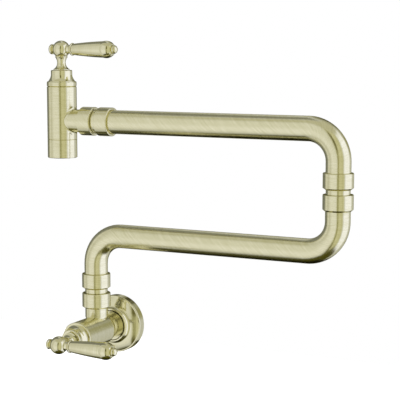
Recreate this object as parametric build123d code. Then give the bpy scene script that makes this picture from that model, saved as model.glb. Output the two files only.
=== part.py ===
from build123d import *
import math
import os

# Wall mounted pot filler with two folding arms and two quarter-turn valves.
# Origin: centre of the water inlet in the plane of the wall. +Z is up, -Y points out of
# the wall, and the folded arms lie along X. All sizes are in millimetres.

# ---- layout ---------------------------------------------------------------------------
wall_to_arms = 46.0            # wall plane to the plane that holds both arms
lower_reach = 264.0            # riser axis to elbow axis
upper_reach = 303.1            # elbow axis to spout axis
riser_stub = 11.45             # stub that shows between the wall valve and the riser's socket
straight_above_joint = 20.35   # straight tube between a collar's seat and the bend above it
straight_under_elbow = 13.8    # straight tube between the lower arm's bend and the elbow's seat
branch_stub = 9.0              # stub that shows between the spout and the union's socket
valve_face_from_riser = 39.1   # riser axis out to the face under the wall valve's bonnet
spout_face_from_branch = 40.1  # branch axis up to the face under the spout valve's bonnet
sleeve_joint_from_branch = 19.0
outlet_sleeve_length = 19.2

# ---- clearances -----------------------------------------------------------------------
running_clearance = 0.05       # radial, between parts that turn on each other
fitted_clearance = 0.02        # radial, between parts that are screwed or pressed home
end_clearance = 0.2            # axial, where a turning part must not touch
edge_round = 0.5

# ---- arms -----------------------------------------------------------------------------
tube_r = 12.0
tube_wall = 1.5
bend_r = 30.0

# ---- swivel joints and union ------------------------------------------------------------
collar_wall = 2.55             # around the tube
collar_length = 15.8
collar_chamfer = 1.8           # length of the long chamfer on each collar
collar_lip = 0.35              # flat left between that chamfer and the neck
collar_edge_round = 0.8        # on the rim away from that chamfer
collar_mouth_share = 0.35      # of the flat rim, taken by the chamfer around the tube
neck_r = 11.6
neck_gap = 4.4                 # length of neck that shows between two collars
socket_seat_depth = 4.0        # how far the fixed tube or stub enters a socket
collar_seat_depth = 10.05      # how far the arm's tube enters its collar
journal_r = 10.0
water_way_r = 6.5
pilot_length = 4.0
bearing_washer = 0.8
bearing_washer_sunk = 0.9      # depth of the washer's top face under the socket's rim
bearing_washer_gap = 0.2       # radial, around the washer
socket_recess_r = 12.3
joint_ring_section_r = 0.85
joint_ring_groove = 2.1
joint_ring_land = 0.95
lock_groove = 1.8
lock_groove_depth = 1.5
lock_screw_r = 1.5
lock_screw_tip_r = 0.6
lock_screw_sunk = 0.35         # below the collar's surface
lock_screw_tip_gap = 0.3

# ---- valve chambers, the same in both valve bodies ---------------------------------------
chamber_r = 10.5
chamber_floor = 0.4            # the chamber ends this far past its outlet
flange_seat_r = 12.0
flange_seat_depth = 2.0
seat_tube_r = 6.3
seat_tube_bore_r = 5.0
outlet_bore_r = 8.5            # from the chamber into the riser or the branch
outlet_bore_start = 1.5        # from the seat tube's wall

# ---- wall valve body -------------------------------------------------------------------
wall_barrel_r = 16.0           # front part, around the valve
wall_barrel_length = 47.0      # from the valve's face
wall_barrel_edge_round = 0.8
wall_barrel_groove_from_face = 1.9
wall_barrel_groove_depth = 0.4
wall_barrel_groove_width = 0.8
wall_taper_length = 8.6        # from the barrel down to the body behind it
wall_body_r = 13.0
wall_neck_r = 12.3
wall_neck_start = 28.2         # from the wall plane
wall_collar_r = 15.2
wall_collar_length = 17.8      # from the wall plane
inlet_r = 9.9                  # 1/2 inch pipe thread, drawn plain at its minor radius
inlet_depth = 15.0
riser_foot_r = 10.2
riser_foot_lip = 0.25          # from the body's wall up to the riser's foot
riser_foot_rise = 3.2          # height of the rounded foot under the riser
riser_foot_bulge = 0.5

# ---- wall flange -----------------------------------------------------------------------
flange_r = 30.3
flange_rim = 8.7               # thickness at the rim
flange_rim_round = 0.9
flange_slope_r = 21.2          # where the face turns up into the hub ring
flange_slope_height = 12.4
flange_hub_wall = 1.93
flange_hub_lip = 2.2
flange_hub_round = 0.9
flange_rim_land = 1.6
flange_dish_bulge = 0.25
flange_cove_sag = 0.7
flange_height = 17.5
flange_bore_gap = 0.87         # radial, around the valve body's collar
flange_relief_r = 26.0
flange_relief_depth = 3.0
gasket_width = 2.6
gasket_depth = 1.5
flange_screw_r = 2.0
flange_screw_height = 10.0     # from the wall plane

# ---- spout body ------------------------------------------------------------------------
spout_r = 15.2
spout_edge_round = 1.2
groove_from_top = 5.1
groove_depth = 0.9
groove_width = 1.2
branch_r = 11.6
branch_fillet = 2.6
spout_web = 3.0                # closes the spout's chamber above its outlet bore
outlet_sleeve_wall = 2.4        # around the spout's spigot
spigot_wall = 3.6
sleeve_spigot_length = 8.0
sleeve_lip = 1.1
sleeve_lip_width = 1.0

# ---- outlet pieces ---------------------------------------------------------------------
aerator_inset = 3.8            # under the spout's surface
aerator_seal = 1.1
aerator_wall = 1.2
aerator_floor = 1.6
nozzle_hole_r = 0.75
nozzle_pitch = 2.3
nozzle_rings = 3
screen_hole_r = 0.5
screen_thickness = 0.5
regulator_rim_width = 1.35
regulator_height = 3.4
regulator_rim = 1.7            # thickness of the thin outer part that centres it
regulator_hole_r = 3.2

# ---- bonnet ----------------------------------------------------------------------------
bonnet_base_r = 13.6
bonnet_base = 0.5
bonnet_r = 10.9
bonnet_flare_top = 6.4
bonnet_flare_sag = 0.5         # how far the flare sinks below a straight cone
bonnet_height = 11.5
bonnet_round = 1.0
bonnet_thread_r = 9.35
bonnet_ceiling = 2.2
bonnet_hole_gap = 0.7          # radial, around the spindle

# ---- cartridge, heights below the bonnet's face are depths ---------------------------------
cartridge_flange = 2.0
cartridge_thread_end = 8.0
cartridge_sleeve_r = 8.2
cartridge_bore_r = 6.8
cartridge_top_gap = 1.0        # under the bonnet's ceiling
cartridge_window_width = 8.0
cartridge_window_height = 3.4
disc_thickness = 3.0
disc_port_r = 5.3
disc_port_inner_r = 1.6
disc_port_angle = 78.0
dog_width = 3.0
dog_depth = 1.4                # how far the spindle's dogs enter the turning disc
seal_height = 3.0
plenum_height = 3.8            # free height between spindle foot and turning disc
foot_thickness = 2.2
spindle_r = 3.9
spline_engagement = 5.3        # length of spline inside the handle's stem
spline_r = 2.9
spline_tooth = 0.3
spline_teeth = 16
spline_sunk = 1.5              # start of the spline below the bonnet's top
valve_ring_groove = 1.8
body_ring_section_r = 0.72
body_ring_depth = 4.1
spindle_ring_section_r = 0.6
spindle_ring_height = 3.9      # above the bonnet's face

# ---- handle, heights above the stem's base ------------------------------------------------
handle_gap = 0.4               # between the bonnet's top and the stem's base
stem_base_r = 8.3
stem_base_edge = 0.5
stem_waist_r = 4.4
stem_waist_rise = 7.5
stem_lip_r = 6.3
stem_lip_rise = 12.7
stem_lip = 0.8
stem_top_r = 4.6
stem_foot_sag = 1.2            # how far each hollow of the stem sinks below a straight cone
stem_neck_sag = 0.45
ball_rise = 20.7
ball_r = 8.95
lever_neck_r = 4.2
lever_neck_start = 9.8         # along the lever, from the ball's centre
neck_blend_angle = math.radians(46)
neck_blend_sag = 0.6
grip_start = 11.6
rod_r = 2.5
rod_into_grip = 34.0
rod_into_cap = 2.6
ferrule_r = 6.5
ferrule_peak = 13.6
ferrule_bulge = 0.35
ferrule_groove = 0.6
ferrule_groove_r = 4.9
grip_root = 15.0
grip_root_r = 5.7
grip_shoulder = 50.6           # where the taper ends and the rounded end starts
grip_shoulder_r = 8.35
grip_bulge = 0.35
grip_end = 61.2
grip_end_r = 5.6
grip_shoulder_bulge = 1.5
button_neck_r = 3.7
button_neck = 0.3
button_r = 4.3
button_length = 4.8
button_stud_r = 1.6
button_stud = 7.0
cap_r = 5.2
cap_neck_r = 3.4
cap_seat = 7.6                 # from the ball's centre to the cap's seat
cap_start = 9.7
cap_end = 13.4
cap_crown_rise = 1.9
cap_crown_r = 2.2
cap_crown_bulge = 0.5
handle_screw_r = 1.5
handle_screw_length = 2.0
handle_screw_rise = 2.4

# ---- derived values --------------------------------------------------------------------
spout_x = lower_reach - upper_reach
tube_bore_r = tube_r - tube_wall
flange_bore_r = wall_collar_r + flange_bore_gap
flange_hub_r = flange_bore_r + flange_hub_wall
sleeve_spigot_r = spout_r - outlet_sleeve_wall
outlet_r = sleeve_spigot_r - spigot_wall
aerator_r = spout_r - aerator_inset
sleeve_lip_r = aerator_r - sleeve_lip_width
screen_r = aerator_r - aerator_wall - fitted_clearance
regulator_r = screen_r - regulator_rim_width

# Swivel frame: z along the joint's axis, zero in the middle of the visible neck.
socket_top = -neck_gap / 2
socket_bottom = socket_top - collar_length
socket_seat = socket_bottom + socket_seat_depth
washer_top = socket_top - bearing_washer_sunk
washer_bottom = washer_top - bearing_washer
journal_end = socket_seat + end_clearance
collar_bottom = neck_gap / 2
collar_top = collar_bottom + collar_length
collar_seat = collar_top - collar_seat_depth
collar_r = tube_r + collar_wall
collar_mouth = collar_mouth_share * (collar_r - collar_edge_round - tube_r)
journal_bore_r = journal_r + running_clearance
upper_ring_z = washer_bottom - joint_ring_land - joint_ring_groove / 2
lower_ring_z = upper_ring_z - joint_ring_groove - joint_ring_land
lock_z = journal_end + joint_ring_land + lock_groove / 2
lock_floor_r = journal_r - lock_groove_depth

# Valve frame: z out of the valve along the spindle, zero at the face under the bonnet.
foot_top = -cartridge_thread_end - end_clearance
foot_bottom = foot_top - foot_thickness
turning_top = foot_bottom - plenum_height
turning_bottom = turning_top - disc_thickness
fixed_bottom = turning_bottom - disc_thickness
seal_bottom = fixed_bottom - seal_height
sleeve_bottom = fixed_bottom - seal_height / 2
cartridge_top = bonnet_height - bonnet_ceiling - cartridge_top_gap
spline_start = bonnet_height - spline_sunk
stem_base = bonnet_height + handle_gap
spline_top = stem_base + spline_engagement
hub_height = stem_base + ball_rise
handle_screw_height = stem_base + handle_screw_rise

# Room frame: how the joints, arms and valves stand on each other.
riser_foot = wall_body_r + riser_foot_lip
riser_joint_height = riser_foot + riser_stub - socket_bottom
arm_rise = collar_seat + straight_above_joint + bend_r
lower_arm_height = riser_joint_height + arm_rise
elbow_joint_height = lower_arm_height + bend_r + straight_under_elbow - socket_seat
upper_arm_height = elbow_joint_height + arm_rise
union_from_spout = spout_r + branch_stub - socket_bottom
wall_valve_reach = wall_to_arms + valve_face_from_riser
spout_top_height = upper_arm_height + spout_face_from_branch
sleeve_joint_height = upper_arm_height - sleeve_joint_from_branch
spout_bottom_height = sleeve_joint_height - outlet_sleeve_length
sleeve_spigot_end = sleeve_joint_height - sleeve_spigot_length
aerator_low = spout_bottom_height + sleeve_lip
aerator_high = sleeve_spigot_end - aerator_seal
screen_low = aerator_low + aerator_floor
regulator_low = screen_low + screen_thickness

# ---- placements ------------------------------------------------------------------------
at_wall = Rot(90, 0, 0)
at_wall_valve = Pos(0, -wall_valve_reach, 0) * Rot(90, 0, 0)
at_spout_valve = Pos(spout_x, -wall_to_arms, spout_top_height)
at_outlet = Pos(spout_x, -wall_to_arms, 0)
at_riser_joint = Pos(0, -wall_to_arms, riser_joint_height)
at_elbow_joint = Pos(lower_reach, -wall_to_arms, elbow_joint_height)
at_union = Pos(spout_x + union_from_spout, -wall_to_arms, upper_arm_height) * Rot(0, 90, 0)


# ---- shapes used by many pieces -----------------------------------------------------------
def section(*steps):
    """Closed face from points in the XZ plane. A pair of points is an arc through the first."""
    edges = []
    here = steps[0]
    for step in steps[1:] + steps[:1]:
        if isinstance(step[0], tuple):
            through, there = step
            edges.append(ThreePointArc(upright(here), upright(through), upright(there)))
        else:
            there = step
            edges.append(Line(upright(here), upright(there)))
        here = there
    return make_face(edges)


def upright(point):
    return (point[0], 0, point[1])


def hollow(start, end, sag):
    """Arc from start to end that sinks to the left of the straight line by sag."""
    length = math.dist(start, end)
    middle_x = (start[0] + end[0]) / 2 - (end[1] - start[1]) / length * sag
    middle_z = (start[1] + end[1]) / 2 + (end[0] - start[0]) / length * sag
    return ((middle_x, middle_z), end)


def rounded(start, end):
    """Quarter circle from start to end that bulges to the right of the straight line."""
    return hollow(start, end, (1 - math.sqrt(2)) / 2 * math.dist(start, end))


def eased(start, end):
    """Two arcs from start to end that leave and arrive in line with the Z axis."""
    middle = ((start[0] + end[0]) / 2, (start[1] + end[1]) / 2)
    lean = math.atan2(middle[0] - start[0], middle[1] - start[1])
    sag = math.dist(start, middle) / 2 * math.tan(lean / 2)
    return hollow(start, middle, sag), hollow(middle, end, -sag)


def domed(start, tip):
    """Arc of a (length, radius) section from start down to the axis, square to it at tip."""
    rise = tip - start[0]
    radius = (rise**2 + start[1] ** 2) / (2 * rise)
    centre = tip - radius
    half = math.atan2(start[1], start[0] - centre) / 2
    return ((centre + radius * math.cos(half), radius * math.sin(half)), (tip, 0))


def turned(*steps):
    """Solid of revolution about Z from (radius, height) steps."""
    return revolve(section(*steps), Axis.Z)


def turned_along_x(*steps):
    """Solid of revolution about X from (length, radius) steps."""
    return revolve(section(*steps), Axis.X)


def drum(radius, low, high):
    on_base = (Align.CENTER, Align.CENTER, Align.MIN)
    return Pos(0, 0, low) * Cylinder(radius, high - low, align=on_base)


def drum_along_x(radius, low, high):
    return Rot(0, 90, 0) * drum(radius, low, high)


def ring(outer_r, inner_r, low, high):
    return drum(outer_r, low, high) - drum(inner_r, low, high)


def groove(surface_r, floor_r, middle, width):
    """Space of a square groove around a shaft, open at the shaft's surface."""
    return ring(surface_r + 1, floor_r, middle - width / 2, middle + width / 2)


def round_ring(middle_r, section_r, height):
    return Pos(0, 0, height) * Torus(middle_r, section_r)


def grub_screw(radius, length):
    """Headless screw along Z from its tip at zero, with a hexagon socket in its outer end."""
    socket = Pos(0, 0, length / 2) * extrude(RegularPolygon(radius * 0.55, 6), length)
    return drum(radius, 0, length) - socket


# ---- swivel joints and union --------------------------------------------------------------
def joint_socket(seat_r):
    """Collar that stays: it holds the tube or stub below and carries the journal above."""
    rim = (collar_r, socket_top - collar_edge_round)
    body = turned(
        (0, socket_bottom),
        (seat_r + collar_lip, socket_bottom),
        (collar_r, socket_bottom + collar_chamfer),
        rim,
        rounded(rim, (collar_r - collar_edge_round, socket_top)),
        (0, socket_top),
    )
    body -= drum(seat_r + fitted_clearance, socket_bottom, socket_seat)
    body -= drum(journal_bore_r, socket_seat, washer_bottom)
    body -= drum(socket_recess_r, washer_bottom, socket_top)
    screw_hole = drum(lock_screw_r + fitted_clearance, journal_r, collar_r + 1)
    return body - Pos(0, 0, lock_z) * Rot(-90, 0, 0) * screw_hole


def joint_spigot():
    """Turning core: neck, journal with two seal grooves and a locking groove, tube pilot."""
    body = drum(neck_r, washer_top, collar_seat)
    body += drum(journal_r, journal_end, washer_top)
    body += drum(tube_bore_r - fitted_clearance, collar_seat, collar_seat + pilot_length)
    ring_floor_r = journal_r - 2 * joint_ring_section_r
    for height in (upper_ring_z, lower_ring_z):
        body -= groove(journal_r, ring_floor_r, height, joint_ring_groove)
    body -= groove(journal_r, lock_floor_r, lock_z, lock_groove)
    return body - drum(water_way_r, journal_end, collar_seat + pilot_length)


def joint_collar():
    """Collar on the moving tube, over the top of the neck."""
    rim = (collar_r, collar_top - collar_edge_round)
    body = turned(
        (0, collar_bottom),
        (neck_r + collar_lip, collar_bottom),
        (collar_r, collar_bottom + collar_chamfer),
        rim,
        rounded(rim, (collar_r - collar_edge_round, collar_top)),
        (tube_r + collar_mouth, collar_top),
        (tube_r, collar_top - collar_mouth),
        (0, collar_top - collar_mouth),
    )
    body -= drum(neck_r + fitted_clearance, collar_bottom, collar_seat)
    return body - drum(tube_r + fitted_clearance, collar_seat, collar_top)


def joint_rings():
    middle_r = journal_r - joint_ring_section_r
    upper = round_ring(middle_r, joint_ring_section_r, upper_ring_z)
    lower = round_ring(middle_r, joint_ring_section_r, lower_ring_z)
    return Compound(children=[upper, lower])


def joint_washer():
    outer_r = socket_recess_r - bearing_washer_gap
    return ring(outer_r, journal_bore_r + bearing_washer_gap, washer_bottom, washer_top)


def joint_screw():
    """Grub screw at the back of a socket. Its tip sits in the journal's locking groove."""
    tip_end = lock_floor_r + lock_screw_tip_gap
    shank_start = journal_bore_r + end_clearance
    shank = Pos(0, 0, shank_start) * grub_screw(lock_screw_r, collar_r - lock_screw_sunk - shank_start)
    tip = drum(lock_screw_tip_r, tip_end, shank_start)
    return Pos(0, 0, lock_z) * Rot(-90, 0, 0) * (shank + tip)


def joint_pieces(prefix, place, seat_r):
    return {
        f"{prefix}_socket": place * joint_socket(seat_r),
        f"{prefix}_spigot": place * joint_spigot(),
        f"{prefix}_collar": place * joint_collar(),
        f"{prefix}_orings": place * joint_rings(),
        f"{prefix}_washer": place * joint_washer(),
        f"{prefix}_grub_screw": place * joint_screw(),
    }


# ---- quarter-turn valve: everything above the body's chamber ----------------------------------
def bonnet():
    ceiling = bonnet_height - bonnet_ceiling
    flare_foot = (bonnet_base_r, bonnet_base)
    top_edge = (bonnet_r, bonnet_height - bonnet_round)
    return turned(
        (bonnet_thread_r, 0),
        (bonnet_base_r, 0),
        flare_foot,
        hollow(flare_foot, (bonnet_r, bonnet_flare_top), bonnet_flare_sag),
        top_edge,
        rounded(top_edge, (bonnet_r - bonnet_round, bonnet_height)),
        (spindle_r + bonnet_hole_gap, bonnet_height),
        (spindle_r + bonnet_hole_gap, ceiling),
        (bonnet_thread_r, ceiling),
    )


def cartridge_body():
    """Headwork that screws into the valve body, with the disc chamber in its lower sleeve."""
    thread_r = chamber_r - fitted_clearance
    bore_r = spindle_r + running_clearance
    body = turned(
        (bore_r, cartridge_top),
        (bonnet_thread_r - fitted_clearance, cartridge_top),
        (bonnet_thread_r - fitted_clearance, 0),
        (flange_seat_r - fitted_clearance, 0),
        (flange_seat_r - fitted_clearance, -cartridge_flange),
        (thread_r, -cartridge_flange),
        (thread_r, -cartridge_thread_end),
        (cartridge_sleeve_r, -cartridge_thread_end),
        (cartridge_sleeve_r, sleeve_bottom),
        (cartridge_bore_r, sleeve_bottom),
        (cartridge_bore_r, -cartridge_thread_end),
        (bore_r, -cartridge_thread_end),
    )
    ring_floor_r = chamber_r - 2 * body_ring_section_r - running_clearance
    body -= groove(chamber_r, ring_floor_r, -body_ring_depth, valve_ring_groove)
    return body - Pos(0, 0, turning_top + plenum_height / 2) * sleeve_windows()


def sleeve_windows():
    """Two opposite openings that let water out of the cartridge's sleeve."""
    half = cartridge_window_height / 2
    bar = Box(4 * cartridge_sleeve_r, cartridge_window_width, 2 * half)
    return bar & ring(chamber_r, cartridge_bore_r - 1, -half, half)


def spindle():
    """Spindle with a splined top, a seal groove and a foot whose two dogs drive the disc."""
    body = drum(spindle_r, foot_top, spline_start)
    body += drum(cartridge_bore_r - 2 * end_clearance, foot_bottom, foot_top)
    body += Pos(0, 0, spline_start) * extrude(spline_star(spline_r), spline_top - spline_start)
    ring_floor_r = spindle_r - 2 * spindle_ring_section_r
    body -= groove(spindle_r, ring_floor_r, spindle_ring_height, valve_ring_groove)
    return body + dogs(dog_width, turning_top - dog_depth + end_clearance, foot_bottom)


def dogs(width, low, high):
    """Two lugs across the spindle's foot, inside the radius of the turning disc."""
    bar = Pos(0, 0, (low + high) / 2) * Box(4 * cartridge_bore_r, width, high - low)
    return bar & ring(cartridge_bore_r - 3 * end_clearance, spindle_r - 1, low, high)


def spline_star(tip_r):
    points = []
    for index in range(2 * spline_teeth):
        angle = math.pi * index / spline_teeth
        radius = tip_r - spline_tooth * (index % 2)
        points.append((radius * math.cos(angle), radius * math.sin(angle)))
    return make_face(Polyline(*points, close=True))


def disc_ports(low, high, turn):
    """Two opposite openings through a ceramic disc, centred on the direction turn."""
    half = math.radians(disc_port_angle / 2)
    reach = 2 * disc_port_r
    corner = (reach * math.cos(half), reach * math.sin(half))
    wedge = make_face(Polyline((0, 0), corner, (corner[0], -corner[1]), close=True))
    wedge = Pos(0, 0, low) * extrude(wedge, high - low)
    both = wedge + Rot(0, 0, 180) * wedge
    return Rot(0, 0, turn) * (both & ring(disc_port_r, disc_port_inner_r, low, high))


def turning_disc():
    body = drum(cartridge_bore_r - end_clearance, turning_bottom, turning_top)
    body -= disc_ports(turning_bottom, turning_top, 90)
    notch_low = turning_top - dog_depth
    return body - dogs_slot(notch_low)


def dogs_slot(low):
    """Slots in the turning disc's top for the two dogs, open at its rim."""
    bar = Pos(0, 0, low + dog_depth / 2) * Box(4 * cartridge_bore_r, dog_width + end_clearance, dog_depth)
    return bar & ring(cartridge_bore_r, spindle_r - 1 - end_clearance / 2, low, low + dog_depth)


def fixed_disc():
    body = drum(cartridge_bore_r - running_clearance, fixed_bottom, turning_bottom)
    return body - disc_ports(fixed_bottom, turning_bottom, 0)


def seat_seal():
    """Rubber ring between the fixed disc and the end of the body's inner seat tube."""
    return ring(cartridge_bore_r - running_clearance, seat_tube_bore_r, seal_bottom, fixed_bottom)


def body_oring():
    middle_r = chamber_r - body_ring_section_r - running_clearance
    return round_ring(middle_r, body_ring_section_r, -body_ring_depth)


def spindle_oring():
    middle_r = spindle_r - spindle_ring_section_r
    return round_ring(middle_r, spindle_ring_section_r, spindle_ring_height)


def handle_hub():
    """Waisted stem under a ball that carries the lever's neck and the cap's seat."""
    broach_height = spline_top + end_clearance - stem_base
    broach = extrude(spline_star(spline_r + running_clearance), broach_height)
    screw_hole = Rot(0, -90, 0) * drum(handle_screw_r + fitted_clearance, 0, stem_base_r + 1)
    hub = handle_stem() + Pos(0, 0, hub_height) * handle_ball()
    return hub - Pos(0, 0, stem_base) * broach - Pos(0, 0, handle_screw_height) * screw_hole


def handle_stem():
    waist = (stem_waist_r, stem_base + stem_waist_rise)
    base_edge = (stem_base_r, stem_base + stem_base_edge)
    lip_height = stem_base + stem_lip_rise
    lip_low = (stem_lip_r, lip_height)
    return turned(
        (0, stem_base),
        (stem_base_r, stem_base),
        base_edge,
        hollow(base_edge, waist, stem_foot_sag),
        hollow(waist, lip_low, stem_neck_sag),
        (stem_lip_r, lip_height + stem_lip),
        (stem_top_r, lip_height + stem_lip + 0.4),
        (stem_top_r, hub_height - ball_r / 2),
        (0, hub_height - ball_r / 2),
    )


def handle_ball():
    """Ball with the lever's neck blended into it, bored through for the rod and the cap."""
    shoulder_r = ball_r * math.sin(neck_blend_angle)
    shoulder = (ball_r * math.cos(neck_blend_angle), shoulder_r)
    neck = (lever_neck_start, lever_neck_r)
    lever_neck = turned_along_x(
        (0, 0),
        (grip_start, 0),
        (grip_start, lever_neck_r),
        neck,
        hollow(neck, shoulder, neck_blend_sag),
        (0, shoulder_r),
    )
    ball = Sphere(ball_r) + lever_neck
    ball -= drum_along_x(cap_neck_r + fitted_clearance, -ball_r - 1, -cap_seat)
    return ball - drum_along_x(rod_r + fitted_clearance, -cap_seat, grip_start)


def handle_screw():
    """Grub screw through the stem's base onto the spline, on the side away from the lever."""
    start = spline_r + running_clearance
    screw = Pos(0, 0, start) * grub_screw(handle_screw_r, handle_screw_length)
    return Pos(0, 0, handle_screw_height) * Rot(0, -90, 0) * screw


def lever_rod():
    rod = drum_along_x(rod_r, -cap_start - rod_into_cap, grip_start + rod_into_grip)
    return Pos(0, 0, hub_height) * rod


def lever_grip():
    """Tapered grip with a bead at its root and a hole in its end for the button's stud."""
    bead_foot = (grip_start, lever_neck_r + edge_round)
    peak = (ferrule_peak, ferrule_r)
    root = (grip_root, grip_root_r)
    shoulder = (grip_shoulder, grip_shoulder_r)
    grip = turned_along_x(
        (grip_start, 0),
        bead_foot,
        hollow(bead_foot, peak, ferrule_bulge),
        hollow(peak, (grip_root - ferrule_groove, ferrule_groove_r), ferrule_bulge),
        (grip_root, ferrule_groove_r),
        root,
        hollow(root, shoulder, grip_bulge),
        hollow(shoulder, (grip_end, grip_end_r), grip_shoulder_bulge),
        (grip_end, 0),
    )
    rod_end = grip_start + rod_into_grip + edge_round
    stud_end = grip_end - button_stud - edge_round
    grip -= drum_along_x(rod_r + fitted_clearance, grip_start, rod_end)
    grip -= drum_along_x(button_stud_r + fitted_clearance, stud_end, grip_end)
    return Pos(0, 0, hub_height) * grip


def lever_button():
    head = grip_end + button_neck
    shoulder = (head + 0.35 * button_length, button_r)
    button = turned_along_x(
        (grip_end - button_stud, 0),
        (grip_end - button_stud, button_stud_r),
        (grip_end, button_stud_r),
        (grip_end, button_neck_r),
        (head, button_neck_r),
        (head, button_r - edge_round),
        (head + edge_round, button_r),
        shoulder,
        domed(shoulder, head + button_length),
    )
    return Pos(0, 0, hub_height) * button


def rear_cap():
    """Small domed knob screwed on the rod behind the ball."""
    face = (-cap_end + cap_crown_rise, cap_r)
    crown = (-cap_end, cap_crown_r)
    cap = turned_along_x(
        (-cap_seat, 0),
        (-cap_seat, cap_neck_r),
        (-cap_start, cap_neck_r),
        (-cap_start, cap_r - edge_round),
        (-cap_start - edge_round, cap_r),
        face,
        hollow(face, crown, -cap_crown_bulge),
        (-cap_end, 0),
    )
    rod_end = cap_start + rod_into_cap + end_clearance
    cap -= drum_along_x(rod_r + fitted_clearance, -rod_end, -cap_seat)
    return Pos(0, 0, hub_height) * cap


def valve_pieces(prefix, place):
    return {
        f"{prefix}_bonnet": place * bonnet(),
        f"{prefix}_cartridge_body": place * cartridge_body(),
        f"{prefix}_body_oring": place * body_oring(),
        f"{prefix}_spindle": place * spindle(),
        f"{prefix}_spindle_oring": place * spindle_oring(),
        f"{prefix}_turning_disc": place * turning_disc(),
        f"{prefix}_fixed_disc": place * fixed_disc(),
        f"{prefix}_seat_seal": place * seat_seal(),
        f"{prefix}_handle_hub": place * handle_hub(),
        f"{prefix}_handle_screw": place * handle_screw(),
        f"{prefix}_lever_rod": place * lever_rod(),
        f"{prefix}_lever_grip": place * lever_grip(),
        f"{prefix}_lever_button": place * lever_button(),
        f"{prefix}_rear_cap": place * rear_cap(),
    }


# ---- bodies ----------------------------------------------------------------------------
def chamber(outlet_depth, passage_depth):
    """Space cut out of a valve body: cartridge seat, outlet chamber and inlet passage."""
    floor = -outlet_depth - outlet_bore_r - chamber_floor
    space = drum(chamber_r, floor, 0) + drum(flange_seat_r, -flange_seat_depth, 0)
    space -= drum(seat_tube_r, floor, seal_bottom)
    return space + drum(seat_tube_bore_r, -passage_depth, seal_bottom)


def valve_body():
    """Wall valve body: barrel, tube, neck, rear collar with the pipe inlet, and riser stub."""
    wall = -wall_valve_reach
    taper_foot = (wall_body_r, -wall_barrel_length - wall_taper_length)
    groove_half = wall_barrel_groove_width / 2
    front_edge = (wall_barrel_r, -wall_barrel_edge_round)
    body = turned(
        (0, wall),
        (wall_collar_r, wall),
        (wall_collar_r, wall + wall_collar_length),
        (wall_neck_r, wall + wall_collar_length),
        (wall_neck_r, wall + wall_neck_start - edge_round),
        (wall_body_r, wall + wall_neck_start),
        taper_foot,
        *eased(taper_foot, (wall_barrel_r, -wall_barrel_length)),
        (wall_barrel_r, -wall_barrel_groove_from_face - groove_half),
        (wall_barrel_r - wall_barrel_groove_depth, -wall_barrel_groove_from_face),
        (wall_barrel_r, -wall_barrel_groove_from_face + groove_half),
        front_edge,
        rounded(front_edge, (wall_barrel_r - wall_barrel_edge_round, 0)),
        (0, 0),
    )
    stub_top = riser_joint_height + socket_seat
    shoulder = (branch_r, riser_foot + riser_foot_rise)
    stub = turned(
        (0, 0),
        (riser_foot_r, 0),
        (riser_foot_r, riser_foot),
        hollow((riser_foot_r, riser_foot), shoulder, -riser_foot_bulge),
        (branch_r, stub_top),
        (0, stub_top),
    )
    to_riser = Pos(0, 0, -valve_face_from_riser) * Rot(-90, 0, 0)
    body += to_riser * stub
    body -= chamber(valve_face_from_riser, wall_valve_reach - inlet_depth)
    body -= drum(inlet_r, wall, wall + inlet_depth)
    return at_wall_valve * (body - to_riser * drum(outlet_bore_r, seat_tube_r + outlet_bore_start, stub_top))


def wall_flange():
    """Round flange whose face slopes up to a raised hub ring, relieved at the back."""
    rim_edge = (flange_r, flange_rim - flange_rim_round)
    dish_edge = (flange_r - flange_rim_land, flange_rim + edge_round / 2)
    slope = (flange_slope_r, flange_slope_height)
    hub_foot = (flange_hub_r, flange_height - flange_hub_lip)
    hub_edge = (flange_hub_r, flange_height - flange_hub_round)
    body = turned(
        (flange_bore_r, 0),
        (flange_r, 0),
        rim_edge,
        rounded(rim_edge, (flange_r - flange_rim_round, flange_rim)),
        dish_edge,
        hollow(dish_edge, slope, -flange_dish_bulge),
        hollow(slope, hub_foot, flange_cove_sag),
        hub_edge,
        rounded(hub_edge, (flange_hub_r - flange_hub_round, flange_height)),
        (flange_bore_r + edge_round / 2, flange_height),
        (flange_bore_r, flange_height - edge_round / 2),
    )
    body -= ring(flange_relief_r, flange_bore_r, 0, flange_relief_depth)
    body -= gasket_ring()
    screw_hole = Rot(90, 0, 0) * drum(flange_screw_r + fitted_clearance, 0, flange_r + 1)
    return at_wall * (body - Pos(0, 0, flange_screw_height) * screw_hole)


def gasket_ring():
    middle_r = (flange_relief_r + flange_r) / 2
    return ring(middle_r + gasket_width / 2, middle_r - gasket_width / 2, 0, gasket_depth)


def flange_screw():
    """Grub screw up through the flange's underside onto the valve body's collar."""
    start = wall_collar_r + fitted_clearance
    screw = Pos(0, 0, start) * grub_screw(flange_screw_r, flange_slope_r - start)
    return at_wall * Pos(0, 0, flange_screw_height) * Rot(90, 0, 0) * screw


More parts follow.
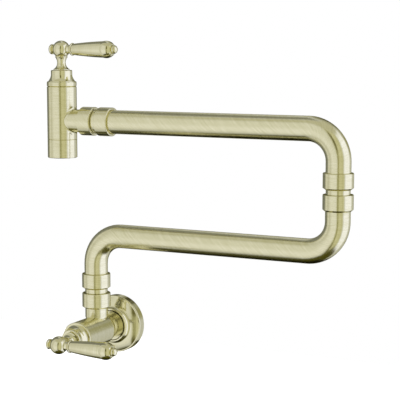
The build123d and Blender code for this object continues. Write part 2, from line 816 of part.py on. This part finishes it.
def spout_body():
    """Upright tube with a valve chamber above, a side branch and a spigot for the sleeve."""
    bottom = sleeve_joint_height - spout_top_height
    spigot_end = sleeve_spigot_end - spout_top_height
    web_bottom = -spout_face_from_branch - outlet_bore_r - chamber_floor - spout_web
    top_edge = (spout_r, -spout_edge_round)
    body = turned(
        (0, spigot_end),
        (sleeve_spigot_r, spigot_end),
        (sleeve_spigot_r, bottom),
        (spout_r, bottom),
        (spout_r, -groove_from_top - groove_width / 2),
        (spout_r - groove_depth, -groove_from_top),
        (spout_r, -groove_from_top + groove_width / 2),
        top_edge,
        rounded(top_edge, (spout_r - spout_edge_round, 0)),
        (0, 0),
    )
    branch_end = union_from_spout + socket_seat
    to_branch = Pos(0, 0, -spout_face_from_branch) * Rot(0, 90, 0)
    body += to_branch * drum(branch_r, 0, branch_end)
    seams = [edge for edge in body.edges() if is_branch_seam(edge)]
    body = fillet(seams, branch_fillet)
    body -= chamber(spout_face_from_branch, -web_bottom)
    body -= drum(outlet_r, spigot_end, web_bottom)
    body -= to_branch * drum(outlet_bore_r, seat_tube_r + outlet_bore_start, branch_end)
    ring_floor_r = sleeve_spigot_r - 2 * body_ring_section_r
    ring_middle = spigot_end + sleeve_spigot_length / 2
    return at_spout_valve * (body - groove(sleeve_spigot_r, ring_floor_r, ring_middle, valve_ring_groove))


def is_branch_seam(edge):
    """True for the saddle edges where the branch leaves the spout's cylinder."""
    middle = edge.center()
    near_axis = abs(middle.Z + spout_face_from_branch) < branch_r + 1
    return edge.geom_type not in (GeomType.LINE, GeomType.CIRCLE) and near_axis and middle.X > 0


def outlet_oring():
    height = sleeve_joint_height - sleeve_spigot_length / 2
    middle_r = sleeve_spigot_r - body_ring_section_r
    return at_outlet * round_ring(middle_r, body_ring_section_r, height)


def outlet_sleeve():
    sleeve = drum(spout_r, spout_bottom_height, sleeve_joint_height)
    rims = sleeve.edges().filter_by(GeomType.CIRCLE)
    sleeve = chamfer(rims, edge_round)
    sleeve -= drum(sleeve_lip_r, spout_bottom_height, aerator_low)
    sleeve -= drum(aerator_r + fitted_clearance, aerator_low, sleeve_joint_height)
    sleeve -= drum(sleeve_spigot_r + fitted_clearance, sleeve_spigot_end, sleeve_joint_height)
    return at_outlet * sleeve


def nozzle_places():
    """Centres of the outlet holes: one in the middle and rings of six, twelve and eighteen."""
    places = [(0.0, 0.0)]
    for number in range(1, nozzle_rings + 1):
        for index in range(6 * number):
            angle = 2 * math.pi * index / (6 * number)
            radius = number * nozzle_pitch
            places.append((radius * math.cos(angle), radius * math.sin(angle)))
    return places


def pierced(plate, low, high, hole_r):
    for x, y in nozzle_places():
        plate -= Pos(x, y, 0) * drum(hole_r, low, high)
    return plate


def aerator_insert():
    """Plastic cup with a pierced floor."""
    cup = drum(aerator_r, aerator_low, aerator_high)
    cup -= drum(aerator_r - aerator_wall, screen_low, aerator_high)
    return at_outlet * pierced(cup, aerator_low, screen_low, nozzle_hole_r)


def aerator_screen():
    plate = drum(screen_r, screen_low, regulator_low)
    return at_outlet * pierced(plate, screen_low, regulator_low, screen_hole_r)


def flow_regulator():
    """Disc with a throat that sits on the screen inside the cup."""
    body = ring(regulator_r, regulator_hole_r, regulator_low, regulator_low + regulator_height)
    rim = ring(screen_r, regulator_r, regulator_low, regulator_low + regulator_rim)
    return at_outlet * (body + rim)


def aerator_washer():
    return at_outlet * ring(aerator_r, outlet_r, aerator_high, sleeve_spigot_end)


def bent_tube(*corners):
    """Tube with a bend at each inner corner of its route."""
    route = FilletPolyline(*corners, radius=bend_r)
    start = Plane(origin=corners[0], z_dir=route % 0)
    return sweep(start * (Circle(tube_r) - Circle(tube_bore_r)), path=route)


def lower_arm_tube():
    low_end = riser_joint_height + collar_seat
    high_end = elbow_joint_height + socket_seat
    return bent_tube(
        (0, -wall_to_arms, low_end),
        (0, -wall_to_arms, lower_arm_height),
        (lower_reach, -wall_to_arms, lower_arm_height),
        (lower_reach, -wall_to_arms, high_end),
    )


def upper_arm_tube():
    low_end = elbow_joint_height + collar_seat
    near_end = spout_x + union_from_spout + collar_seat
    return bent_tube(
        (lower_reach, -wall_to_arms, low_end),
        (lower_reach, -wall_to_arms, upper_arm_height),
        (near_end, -wall_to_arms, upper_arm_height),
    )


def all_pieces():
    pieces = {
        "wall_flange": wall_flange(),
        "flange_gasket": at_wall * gasket_ring(),
        "flange_grub_screw": flange_screw(),
        "valve_body": valve_body(),
        "lower_arm_tube": lower_arm_tube(),
        "upper_arm_tube": upper_arm_tube(),
        "spout_body": spout_body(),
        "outlet_sleeve": outlet_sleeve(),
        "outlet_oring": outlet_oring(),
        "aerator_insert": aerator_insert(),
        "aerator_screen": aerator_screen(),
        "aerator_washer": aerator_washer(),
        "flow_regulator": flow_regulator(),
    }
    pieces |= joint_pieces("riser_joint", at_riser_joint, branch_r)
    pieces |= joint_pieces("elbow_joint", at_elbow_joint, tube_r)
    pieces |= joint_pieces("spout_union", at_union, branch_r)
    pieces |= valve_pieces("wall_valve", at_wall_valve)
    pieces |= valve_pieces("spout_valve", at_spout_valve)
    return pieces


os.makedirs("parts", exist_ok=True)
for name, piece in all_pieces().items():
    export_step(piece, f"parts/{name}.step")
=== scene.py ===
import math

import bpy
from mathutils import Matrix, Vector

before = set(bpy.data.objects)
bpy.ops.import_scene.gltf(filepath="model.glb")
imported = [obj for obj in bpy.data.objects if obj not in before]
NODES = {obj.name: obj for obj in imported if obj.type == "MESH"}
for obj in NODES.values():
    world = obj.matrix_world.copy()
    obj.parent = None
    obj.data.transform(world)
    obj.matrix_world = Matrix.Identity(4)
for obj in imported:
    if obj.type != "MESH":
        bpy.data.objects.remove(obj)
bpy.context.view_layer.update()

QUARTER_TURN = math.pi / 2
WHITE = (1.0, 1.0, 1.0, 1.0)

# The pot filler's layout, in metres: origin at the inlet's mouth in the wall plane, +X right,
# +Y into the wall, +Z up. These values only place the lines of the finishes, so the lever
# axes may lie up to half a millimetre beside the CAD's.
TUBE_PLANE_Y = -0.046      # the plane that holds both arms and the spout's axis
LOWER_REACH = 0.264        # riser axis to elbow axis
LOWER_ARM_Z = 0.101        # centre line of the lower arm where it lies
UPPER_ARM_Z = 0.2171       # centre line of the upper arm where it lies
BEND_R = 0.030             # centre line of every bend
SPOUT_X = -0.0391
SPOUT_R = 0.0152
WALL_BARREL_R = 0.016
SPOUT_LEVER_Z = 0.2902
WALL_LEVER_Y = -0.1176


# ---- shader helpers ---------------------------------------------------------------------
class Graph:
    """Adds nodes to one shader tree and joins them."""

    def __init__(self, tree):
        self.tree = tree
        tree.nodes.clear()

    def node(self, kind, **settings):
        made = self.tree.nodes.new(kind)
        for key, value in settings.items():
            setattr(made, key, value)
        return made

    def feed(self, socket, value):
        """Link a socket to an output, or set it to a plain value."""
        if isinstance(value, bpy.types.NodeSocket):
            self.tree.links.new(value, socket)
        elif value is not None:
            socket.default_value = value

    def math(self, operation, *values):
        made = self.node("ShaderNodeMath", operation=operation)
        for socket, value in zip(made.inputs, values):
            self.feed(socket, value)
        return made.outputs[0]

    def hypot(self, first, second):
        squares = [self.math("MULTIPLY", value, value) for value in (first, second)]
        return self.math("SQRT", self.math("ADD", *squares))

    def split(self, vector):
        made = self.node("ShaderNodeSeparateXYZ")
        self.feed(made.inputs[0], vector)
        return made.outputs

    def join(self, x, y, z):
        made = self.node("ShaderNodeCombineXYZ")
        for socket, value in zip(made.inputs, (x, y, z)):
            self.feed(socket, value)
        return made.outputs[0]

    def stretch(self, x, y, z, sizes):
        """Vector from three lengths, each measured in its own size."""
        return self.join(*(self.math("DIVIDE", value, size)
                           for value, size in zip((x, y, z), sizes)))

    def remap(self, value, low, high, to_low=0.0, to_high=1.0):
        made = self.node("ShaderNodeMapRange", interpolation_type="SMOOTHSTEP")
        for name, given in (("Value", value), ("From Min", low), ("From Max", high),
                            ("To Min", to_low), ("To Max", to_high)):
            self.feed(made.inputs[name], given)
        return made.outputs[0]

    def mix(self, factor, first, second):
        made = self.node("ShaderNodeMix", data_type="FLOAT")
        for socket, value in zip((made.inputs[0], made.inputs[2], made.inputs[3]),
                                 (factor, first, second)):
            self.feed(socket, value)
        return made.outputs[0]

    def mix_colour(self, factor, first, second):
        made = self.node("ShaderNodeMix", data_type="RGBA")
        for socket, value in zip((made.inputs[0], made.inputs[6], made.inputs[7]),
                                 (factor, first, second)):
            self.feed(socket, value)
        return made.outputs[2]

    def noise(self, vector, scale, detail=2.0, roughness=0.5):
        made = self.node("ShaderNodeTexNoise")
        for name, value in (("Vector", vector), ("Scale", scale), ("Detail", detail),
                            ("Roughness", roughness)):
            self.feed(made.inputs[name], value)
        return made.outputs[0]

    def bump(self, height, distance):
        made = self.node("ShaderNodeBump")
        self.feed(made.inputs["Height"], height)
        made.inputs["Distance"].default_value = distance
        return made.outputs[0]


# ---- studio -----------------------------------------------------------------------------
# Panels and flags round the object: left and right azimuth, bottom and top elevation (degrees,
# azimuth from the front towards +X), softness across, softness up, and the light they give.
# Later ones cover earlier ones.
STUDIO_BASE = (0.62, 0.63, 0.68, 1.0)
PANELS = (
    ("left wall", -138, -40, -52, 56, 16, 24, (0.64, 0.635, 0.60)),
    ("behind right", 146, 181, 2, 30, 10, 10, (0.34, 0.33, 0.17)),
    ("front wall", -46, 10, -52, 50, 30, 20, (0.79, 0.79, 0.78)),
    ("front low wall", -44, 9, -44, -2, 26, 26, (0.90, 0.90, 0.94)),
    ("right wall", 10, 66, -60, 60, 8, 20, (0.67, 0.655, 0.475)),
    ("camera gap", 16, 25, -50, 50, 5, 20, (0.38, 0.37, 0.20)),
    ("gap line", 13.5, 16.5, -50, 20, 2, 20, (0.27, 0.26, 0.11)),
    ("gap high", 15, 28, 9, 44, 6, 12, (0.13, 0.12, 0.035)),
    ("wall seam", 51, 57, -50, 50, 5, 20, (0.56, 0.55, 0.38)),
    ("key softbox", 72, 137, -64, 64, 14, 16, (1.10, 1.12, 1.38)),
    ("left strip", -79, -68, -50, 30, 8, 20, (0.80, 0.80, 0.80)),
    ("shade under camera", 20, 64, -72, -53, 10, 8, (0.10, 0.095, 0.02)),
    ("shade behind", -181, -146, -40, 2, 10, 12, (0.16, 0.155, 0.05)),
    ("top", -78, 181, 50, 91, 20, 12, (0.56, 0.55, 0.45)),
    ("left flag", -141, -91, -70, 91, 12, 20, (0.24, 0.243, 0.22)),
    ("left flag foot", -141, -95, -30, 40, 12, 20, (0.23, 0.24, 0.24)),
    ("flag behind right", 158, 181, 9, 60, 10, 14, (0.40, 0.40, 0.34)),
    ("flag behind left", -181, -158, 9, 60, 8, 14, (0.30, 0.30, 0.24)),
    ("shade high behind", -181, -165, 22, 40, 6, 8, (0.07, 0.065, 0.030)),
    ("shade high behind right", 170, 181, 22, 34, 6, 6, (0.09, 0.085, 0.035)),
    ("flag behind collars", -168, -143, 1, 17, 8, 8, (0.09, 0.085, 0.025)),
    ("ground edge", -140, -80, -68, -55, 16, 10, (0.28, 0.27, 0.10)),
    ("ground", -181, 181, -91, -59, 5, 10, (0.075, 0.07, 0.008)),
    ("ground left", -128, -86, -91, -55, 16, 14, (0.035, 0.033, 0.003)),
    ("ground behind", -190, -124, -91, -30, 14, 12, (0.006, 0.0065, 0.002)),
    ("gap low", 10, 25, -90, -36, 7, 18, (0.12, 0.11, 0.030)),
)

FLOOR_SIZE = 7.0
FLOOR_Z = -0.95
FLOOR_COLOUR = (0.93, 0.93, 0.93, 1.0)
FLOOR_ROUGHNESS = 0.9
FLOOR_GLOW = 0.9

CAMERA_PLACE = (0.68552, -1.16661, 0.2992)
CAMERA_TURN = math.radians(26.78)     # to the right of the front
CAMERA_TILT = math.radians(7.08)      # down
CAMERA_LENS_MM = 115.91
CAMERA_SENSOR_MM = 36.0
CAMERA_CLIP = (0.05, 50.0)


def band(g, value, low, high, soft):
    """1 between low and high, falling to 0 over the softness at each side."""
    rise = g.remap(value, low - soft / 2, low + soft / 2)
    fall = g.remap(value, high - soft / 2, high + soft / 2)
    return g.math("SUBTRACT", rise, fall)


def build_studio():
    """The panels light the object, and the camera sees white behind it."""
    world = bpy.data.worlds.new("studio")
    bpy.context.scene.world = world
    world.use_nodes = True
    g = Graph(world.node_tree)
    x, y, z = g.split(g.node("ShaderNodeTexCoord").outputs["Generated"])
    degrees = 180 / math.pi
    azimuth = g.math("MULTIPLY", g.math("ARCTAN2", x, g.math("MULTIPLY", y, -1.0)), degrees)
    elevation = g.math("MULTIPLY", g.math("ARCSINE", z), degrees)
    colour = STUDIO_BASE
    for _, left, right, bottom, top, across, up, light in PANELS:
        inside = g.math("MULTIPLY", band(g, azimuth, left, right, across),
                        band(g, elevation, bottom, top, up))
        colour = g.mix_colour(inside, colour, (*light, 1.0))
    seen = g.node("ShaderNodeBackground")
    seen.inputs["Color"].default_value = WHITE
    lit = g.node("ShaderNodeBackground")
    g.feed(lit.inputs["Color"], colour)
    rays = g.node("ShaderNodeLightPath")
    choose = g.node("ShaderNodeMixShader")
    g.feed(choose.inputs[0], rays.outputs["Is Camera Ray"])
    g.feed(choose.inputs[1], lit.outputs[0])
    g.feed(choose.inputs[2], seen.outputs[0])
    g.feed(g.node("ShaderNodeOutputWorld").inputs[0], choose.outputs[0])


def build_floor():
    """Pale floor far below the tap, which the metal doesn't reflect."""
    bpy.ops.mesh.primitive_plane_add(size=FLOOR_SIZE, location=(0.0, 0.0, FLOOR_Z))
    floor = bpy.context.object
    floor.name = "studio_floor"
    material, g = new_material("pale_floor")
    shader = g.node("ShaderNodeBsdfPrincipled")
    shader.inputs["Base Color"].default_value = FLOOR_COLOUR
    shader.inputs["Roughness"].default_value = FLOOR_ROUGHNESS
    shader.inputs["Emission Color"].default_value = WHITE
    shader.inputs["Emission Strength"].default_value = FLOOR_GLOW
    g.feed(g.node("ShaderNodeOutputMaterial").inputs[0], shader.outputs[0])
    floor.data.materials.append(material)
    floor.visible_glossy = False


def build_camera():
    data = bpy.data.cameras.new("camera")
    data.sensor_width = CAMERA_SENSOR_MM
    data.lens = CAMERA_LENS_MM
    data.clip_start, data.clip_end = CAMERA_CLIP
    camera = bpy.data.objects.new("camera", data)
    bpy.context.collection.objects.link(camera)
    back = Vector((math.sin(CAMERA_TURN) * math.cos(CAMERA_TILT),
                   -math.cos(CAMERA_TURN) * math.cos(CAMERA_TILT), math.sin(CAMERA_TILT)))
    camera.location = CAMERA_PLACE
    camera.rotation_euler = (-back).to_track_quat("-Z", "Y").to_euler()
    bpy.context.scene.camera = camera


# ---- lines that a finish leaves ---------------------------------------------------------
# turned_lines, joined_lines and arm_lines each return a function of the shader tree and the
# place. It gives the place across the lines, two places along them, and how level an arm runs
# there, from 0 where it stands to 1 where it lies.
STANDING_SLANT = 0.15      # of the lines, against square to the tube
LYING_SLANT = 1.1
JOINT_SLANT = 0.1
EDGE_NARROW = 0.0004       # how far the change from one set of lines to the next reaches
EDGE_WIDE = 0.0008         # to its two sides


def turned_lines(axis, centre, slant=0.0):
    """Rings round an axis through centre, on flat ends too.

    A slant leans the rings round an X or Z axis, as seen from the room.
    """
    def make(g, place):
        parts = dict(zip("XYZ", g.split(place)))
        along = parts.pop(axis)
        sides = [g.math("SUBTRACT", part, middle)
                 for part, middle in zip(parts.values(), centre)]
        across = g.math("ADD", along, g.hypot(*sides))
        leaning = sides[0] if axis == "Z" else sides[1]
        across = g.math("ADD", across, g.math("MULTIPLY", leaning, slant))
        return across, sides[0], sides[1], 0.0
    return make


def joined_lines(first, second, edge):
    """The first lines, and the second ones where edge gives 1."""
    def make(g, place):
        beyond = edge(g, *g.split(place))
        ends = zip(first(g, place), second(g, place))
        return tuple(g.mix(beyond, one, other) for one, other in ends)
    return make


def bend_turn(g, leaving, arriving):
    """Angle turned along a bend, and distance from its centre.

    leaving is how far a place lies past the bend's start, arriving how far before its end.
    """
    leaving, arriving = g.math("MAXIMUM", leaving, 0.0), g.math("MAXIMUM", arriving, 0.0)
    return g.math("ARCTAN2", leaving, arriving), g.hypot(leaving, arriving)


def lower_arm_path(g, x, z):
    """Distance along the lower arm, place across it in its plane, and how level it runs."""
    low_z, high_z = LOWER_ARM_Z - BEND_R, LOWER_ARM_Z + BEND_R
    far_x = LOWER_REACH - BEND_R
    first_turn, first_r = bend_turn(g, g.math("SUBTRACT", z, low_z),
                                    g.math("SUBTRACT", BEND_R, x))
    second_turn, second_r = bend_turn(g, g.math("SUBTRACT", x, far_x),
                                      g.math("SUBTRACT", high_z, z))
    run = g.math("MINIMUM", g.math("SUBTRACT", z, low_z), 0.0)
    for part in (g.math("MULTIPLY", g.math("ADD", first_turn, second_turn), BEND_R),
                 g.math("MINIMUM", g.math("MAXIMUM", x, BEND_R), far_x),
                 g.math("MAXIMUM", g.math("SUBTRACT", z, high_z), 0.0)):
        run = g.math("ADD", run, part)
    side = g.math("SUBTRACT", g.math("SUBTRACT", first_r, second_r),
                  g.math("SUBTRACT", z, LOWER_ARM_Z))
    level = g.math("DIVIDE", g.math("SUBTRACT", first_turn, second_turn), QUARTER_TURN)
    return run, side, level


def upper_arm_path(g, x, z):
    """Distance along the upper arm, place across it in its plane, and how level it runs."""
    low_z, far_x = UPPER_ARM_Z - BEND_R, LOWER_REACH - BEND_R
    turn, radius = bend_turn(g, g.math("SUBTRACT", z, low_z), g.math("SUBTRACT", x, far_x))
    run = g.math("MINIMUM", g.math("SUBTRACT", z, low_z), 0.0)
    run = g.math("ADD", run, g.math("MULTIPLY", turn, BEND_R))
    run = g.math("ADD", run, g.math("MAXIMUM", g.math("SUBTRACT", far_x, x), 0.0))
    side = g.math("SUBTRACT", BEND_R, radius)
    return run, side, g.math("DIVIDE", turn, QUARTER_TURN)


def arm_lines(path):
    """Lines nearly square to an arm where it stands, and slanted where it lies."""
    def make(g, place):
        x, y, z = g.split(place)
        run, side, level = path(g, x, z)
        slant = g.remap(level, 0.0, 1.0, STANDING_SLANT, LYING_SLANT)
        across = g.math("ADD", run, g.math("MULTIPLY", side, slant))
        return across, side, g.math("SUBTRACT", y, TUBE_PLANE_Y), level
    return make


def past_spout_wall(g, x, y, z):
    """1 on the spout's side branch."""
    edge = SPOUT_X + SPOUT_R
    return g.remap(x, edge - EDGE_NARROW, edge + EDGE_WIDE)


def above_barrel(g, x, y, z):
    """1 on the wall valve's riser stub."""
    return g.remap(z, WALL_BARREL_R - EDGE_WIDE, WALL_BARREL_R + EDGE_NARROW)


# Each axis with a place on it, given in the other two directions.
WALL_AXIS = ("Y", (0.0, 0.0))
SPOUT_AXIS = ("Z", (SPOUT_X, TUBE_PLANE_Y))
RISER_AXIS = ("Z", (0.0, TUBE_PLANE_Y))
ELBOW_AXIS = ("Z", (LOWER_REACH, TUBE_PLANE_Y))
UNION_AXIS = ("X", (TUBE_PLANE_Y, UPPER_ARM_Z))
SPOUT_LEVER_AXIS = ("X", (TUBE_PLANE_Y, SPOUT_LEVER_Z))
WALL_LEVER_AXIS = ("X", (WALL_LEVER_Y, 0.0))


# ---- materials --------------------------------------------------------------------------
# Dark and light tone of each finish.
BRUSHED = ((0.728, 0.696, 0.438, 1.0), (0.845, 0.815, 0.572, 1.0))
POLISHED = ((0.760, 0.728, 0.470, 1.0), (0.835, 0.805, 0.565, 1.0))
MACHINED = ((0.690, 0.530, 0.240, 1.0), (0.860, 0.700, 0.370, 1.0))
STEEL = ((0.500, 0.495, 0.480, 1.0), (0.680, 0.675, 0.660, 1.0))
RUBBER = ((0.012, 0.012, 0.012, 1.0), (0.030, 0.029, 0.028, 1.0))
BEARING = ((0.70, 0.70, 0.66, 1.0), (0.80, 0.80, 0.77, 1.0))
CERAMIC = ((0.76, 0.75, 0.71, 1.0), (0.84, 0.83, 0.80, 1.0))
OUTLET = ((0.42, 0.43, 0.42, 1.0), (0.52, 0.53, 0.52, 1.0))
EDGE_TINT = (0.84, 0.82, 0.66, 1.0)    # of metal seen at a grazing angle

# The lines of a metal finish, in metres.
LINE_PITCH = 0.0010
LINE_LENGTH = 0.014
LINE_DEPTH = 0.000006
BRUSHED_DEPTH = 0.000003
POLISHED_DEPTH = 0.000002
SCREW_PITCH = 0.0004
SMEAR_PITCHES = 4          # width of the broader smears between the lines, in pitches
LINE_SHARE = 0.70          # of the change in tone
SMEAR_SHARE = 0.30
CLOUD_SCALE = 48.0         # of the faint clouds in the roughness, per metre
METAL_WEAR = 0.02          # that the clouds and the lines each take from or add to it
GRAIN_WEAR = 0.06          # the same for the grain of rubber and plastic


def new_material(name):
    material = bpy.data.materials.new(name)
    material.use_nodes = True
    return material, Graph(material.node_tree)


def metal(name, lines, tones, rough, level_rough=None, pitch=LINE_PITCH, depth=LINE_DEPTH):
    """Metal with the fine lines of its finish. level_rough is for where an arm lies."""
    material, g = new_material(name)
    place = g.node("ShaderNodeTexCoord").outputs["Object"]
    across, side, out, level = lines(g, place)
    strokes = g.noise(g.stretch(across, side, out, (pitch, LINE_LENGTH, LINE_LENGTH)),
                      1.0, 3.0, 0.62)
    smears = g.noise(g.stretch(across, side, out,
                               (SMEAR_PITCHES * pitch, LINE_LENGTH, LINE_LENGTH)), 1.0, 2.0)
    cloud = g.noise(place, CLOUD_SCALE, 3.0)
    shade = g.math("ADD", g.remap(strokes, 0.28, 0.72, 0.0, LINE_SHARE),
                   g.remap(smears, 0.28, 0.72, 0.0, SMEAR_SHARE))
    even = rough if level_rough is None else g.mix(level, rough, level_rough)
    worn = g.math("ADD", g.remap(cloud, 0.35, 0.65, -METAL_WEAR, METAL_WEAR),
                  g.remap(strokes, 0.3, 0.7, METAL_WEAR, -METAL_WEAR))
    shader = g.node("ShaderNodeBsdfPrincipled")
    g.feed(shader.inputs["Base Color"], g.mix_colour(shade, *tones))
    shader.inputs["Metallic"].default_value = 1.0
    shader.inputs["Specular Tint"].default_value = EDGE_TINT
    g.feed(shader.inputs["Roughness"], g.math("ADD", even, worn))
    g.feed(shader.inputs["Normal"], g.bump(strokes, depth))
    g.feed(g.node("ShaderNodeOutputMaterial").inputs[0], shader.outputs[0])
    return material


def soft_material(name, tones, rough, grain, depth, sheen=0.0, clear=0.0):
    """Rubber, plastic or ceramic: cloudy tone, moulded grain, and a little dust or gloss."""
    material, g = new_material(name)
    place = g.node("ShaderNodeTexCoord").outputs["Object"]
    cloud = g.noise(place, 0.25 / grain, 3.0, 0.55)
    fine = g.noise(place, 1 / grain, 2.0, 0.6)
    shader = g.node("ShaderNodeBsdfPrincipled")
    g.feed(shader.inputs["Base Color"], g.mix_colour(g.remap(cloud, 0.3, 0.7), *tones))
    g.feed(shader.inputs["Roughness"],
           g.remap(fine, 0.3, 0.7, rough - GRAIN_WEAR, rough + GRAIN_WEAR))
    shader.inputs["Sheen Weight"].default_value = sheen
    shader.inputs["Coat Weight"].default_value = clear
    g.feed(shader.inputs["Normal"], g.bump(fine, depth))
    g.feed(g.node("ShaderNodeOutputMaterial").inputs[0], shader.outputs[0])
    return material


def metal_materials():
    """Material for every metal node, by name."""
    made = {}

    def give(nodes, *settings, **more):
        material = metal(*settings, **more)
        for node in nodes:
            made[node] = material

    arms = (("lower_arm", lower_arm_path), ("upper_arm", upper_arm_path))
    for arm, path in arms:
        give([f"{arm}_tube"], f"brushed_{arm}", arm_lines(path), BRUSHED, 0.17,
             level_rough=0.23, depth=BRUSHED_DEPTH)
    branch = turned_lines(*UNION_AXIS, slant=LYING_SLANT)
    give(["spout_body"], "brushed_spout",
         joined_lines(turned_lines(*SPOUT_AXIS), branch, past_spout_wall), BRUSHED, 0.15)
    give(["outlet_sleeve"], "brushed_sleeve", turned_lines(*SPOUT_AXIS), BRUSHED, 0.15)
    give(["valve_body"], "brushed_valve_body",
         joined_lines(turned_lines(*WALL_AXIS), turned_lines(*RISER_AXIS), above_barrel),
         BRUSHED, 0.18, depth=BRUSHED_DEPTH)
    give(["wall_flange"], "satin_flange", turned_lines(*WALL_AXIS), POLISHED, 0.13,
         depth=BRUSHED_DEPTH)
    joints = (("riser_joint", RISER_AXIS, JOINT_SLANT), ("elbow_joint", ELBOW_AXIS, JOINT_SLANT),
              ("spout_union", UNION_AXIS, LYING_SLANT))
    for joint, axis, slant in joints:
        give([f"{joint}_socket", f"{joint}_collar", f"{joint}_spigot"], f"brushed_{joint}",
             turned_lines(*axis, slant=slant), BRUSHED, 0.15, depth=BRUSHED_DEPTH)
        give([f"{joint}_grub_screw"], f"steel_{joint}", turned_lines(*axis), STEEL, 0.30,
             pitch=SCREW_PITCH)
    valves = (("wall_valve", WALL_AXIS, WALL_LEVER_AXIS),
              ("spout_valve", SPOUT_AXIS, SPOUT_LEVER_AXIS))
    for valve, axis, lever in valves:
        give([f"{valve}_bonnet"], f"polished_{valve}_bonnet", turned_lines(*axis), POLISHED,
             0.08, depth=0.0000015)
        give([f"{valve}_handle_hub"], f"satin_{valve}_hub", turned_lines(*axis), POLISHED,
             0.13, depth=POLISHED_DEPTH)
        give([f"{valve}_lever_grip", f"{valve}_lever_button", f"{valve}_rear_cap"],
             f"polished_{valve}_lever", turned_lines(*lever), POLISHED, 0.09,
             depth=POLISHED_DEPTH)
        give([f"{valve}_cartridge_body", f"{valve}_spindle"], f"machined_{valve}",
             turned_lines(*axis), MACHINED, 0.28, pitch=0.0005, depth=0.000010)
        give([f"{valve}_lever_rod"], f"steel_{valve}_rod", turned_lines(*lever), STEEL, 0.26,
             pitch=0.0006)
        give([f"{valve}_handle_screw"], f"steel_{valve}_screw", turned_lines(*lever), STEEL,
             0.30, pitch=SCREW_PITCH)
    give(["flange_grub_screw"], "steel_flange_screw", turned_lines(*WALL_AXIS), STEEL, 0.30,
         pitch=SCREW_PITCH)
    give(["aerator_screen"], "steel_screen", turned_lines(*SPOUT_AXIS), STEEL, 0.32,
         pitch=SCREW_PITCH)
    return made


def dress_nodes():
    """Give every CAD node its finish. What isn't named here is a rubber seal."""
    rubber = soft_material("seal_rubber", RUBBER, 0.55, 0.0005, 0.00002, sheen=0.15)
    bearing = soft_material("bearing_plastic", BEARING, 0.42, 0.0008, 0.000015)
    ceramic = soft_material("ceramic_disc", CERAMIC, 0.20, 0.0004, 0.000004, clear=0.4)
    outlet = soft_material("outlet_plastic", OUTLET, 0.40, 0.0006, 0.00001)
    by_ending = (("turning_disc", ceramic), ("fixed_disc", ceramic),
                 ("joint_washer", bearing), ("union_washer", bearing),
                 ("aerator_insert", outlet), ("flow_regulator", outlet))
    metals = metal_materials()
    for name, node in NODES.items():
        finish = metals.get(name)
        for ending, material in by_ending:
            if name.endswith(ending):
                finish = material
        node.data.materials.clear()
        node.data.materials.append(finish or rubber)


build_studio()
build_floor()
build_camera()
dress_nodes()
bpy.context.scene.view_settings.view_transform = "Standard"
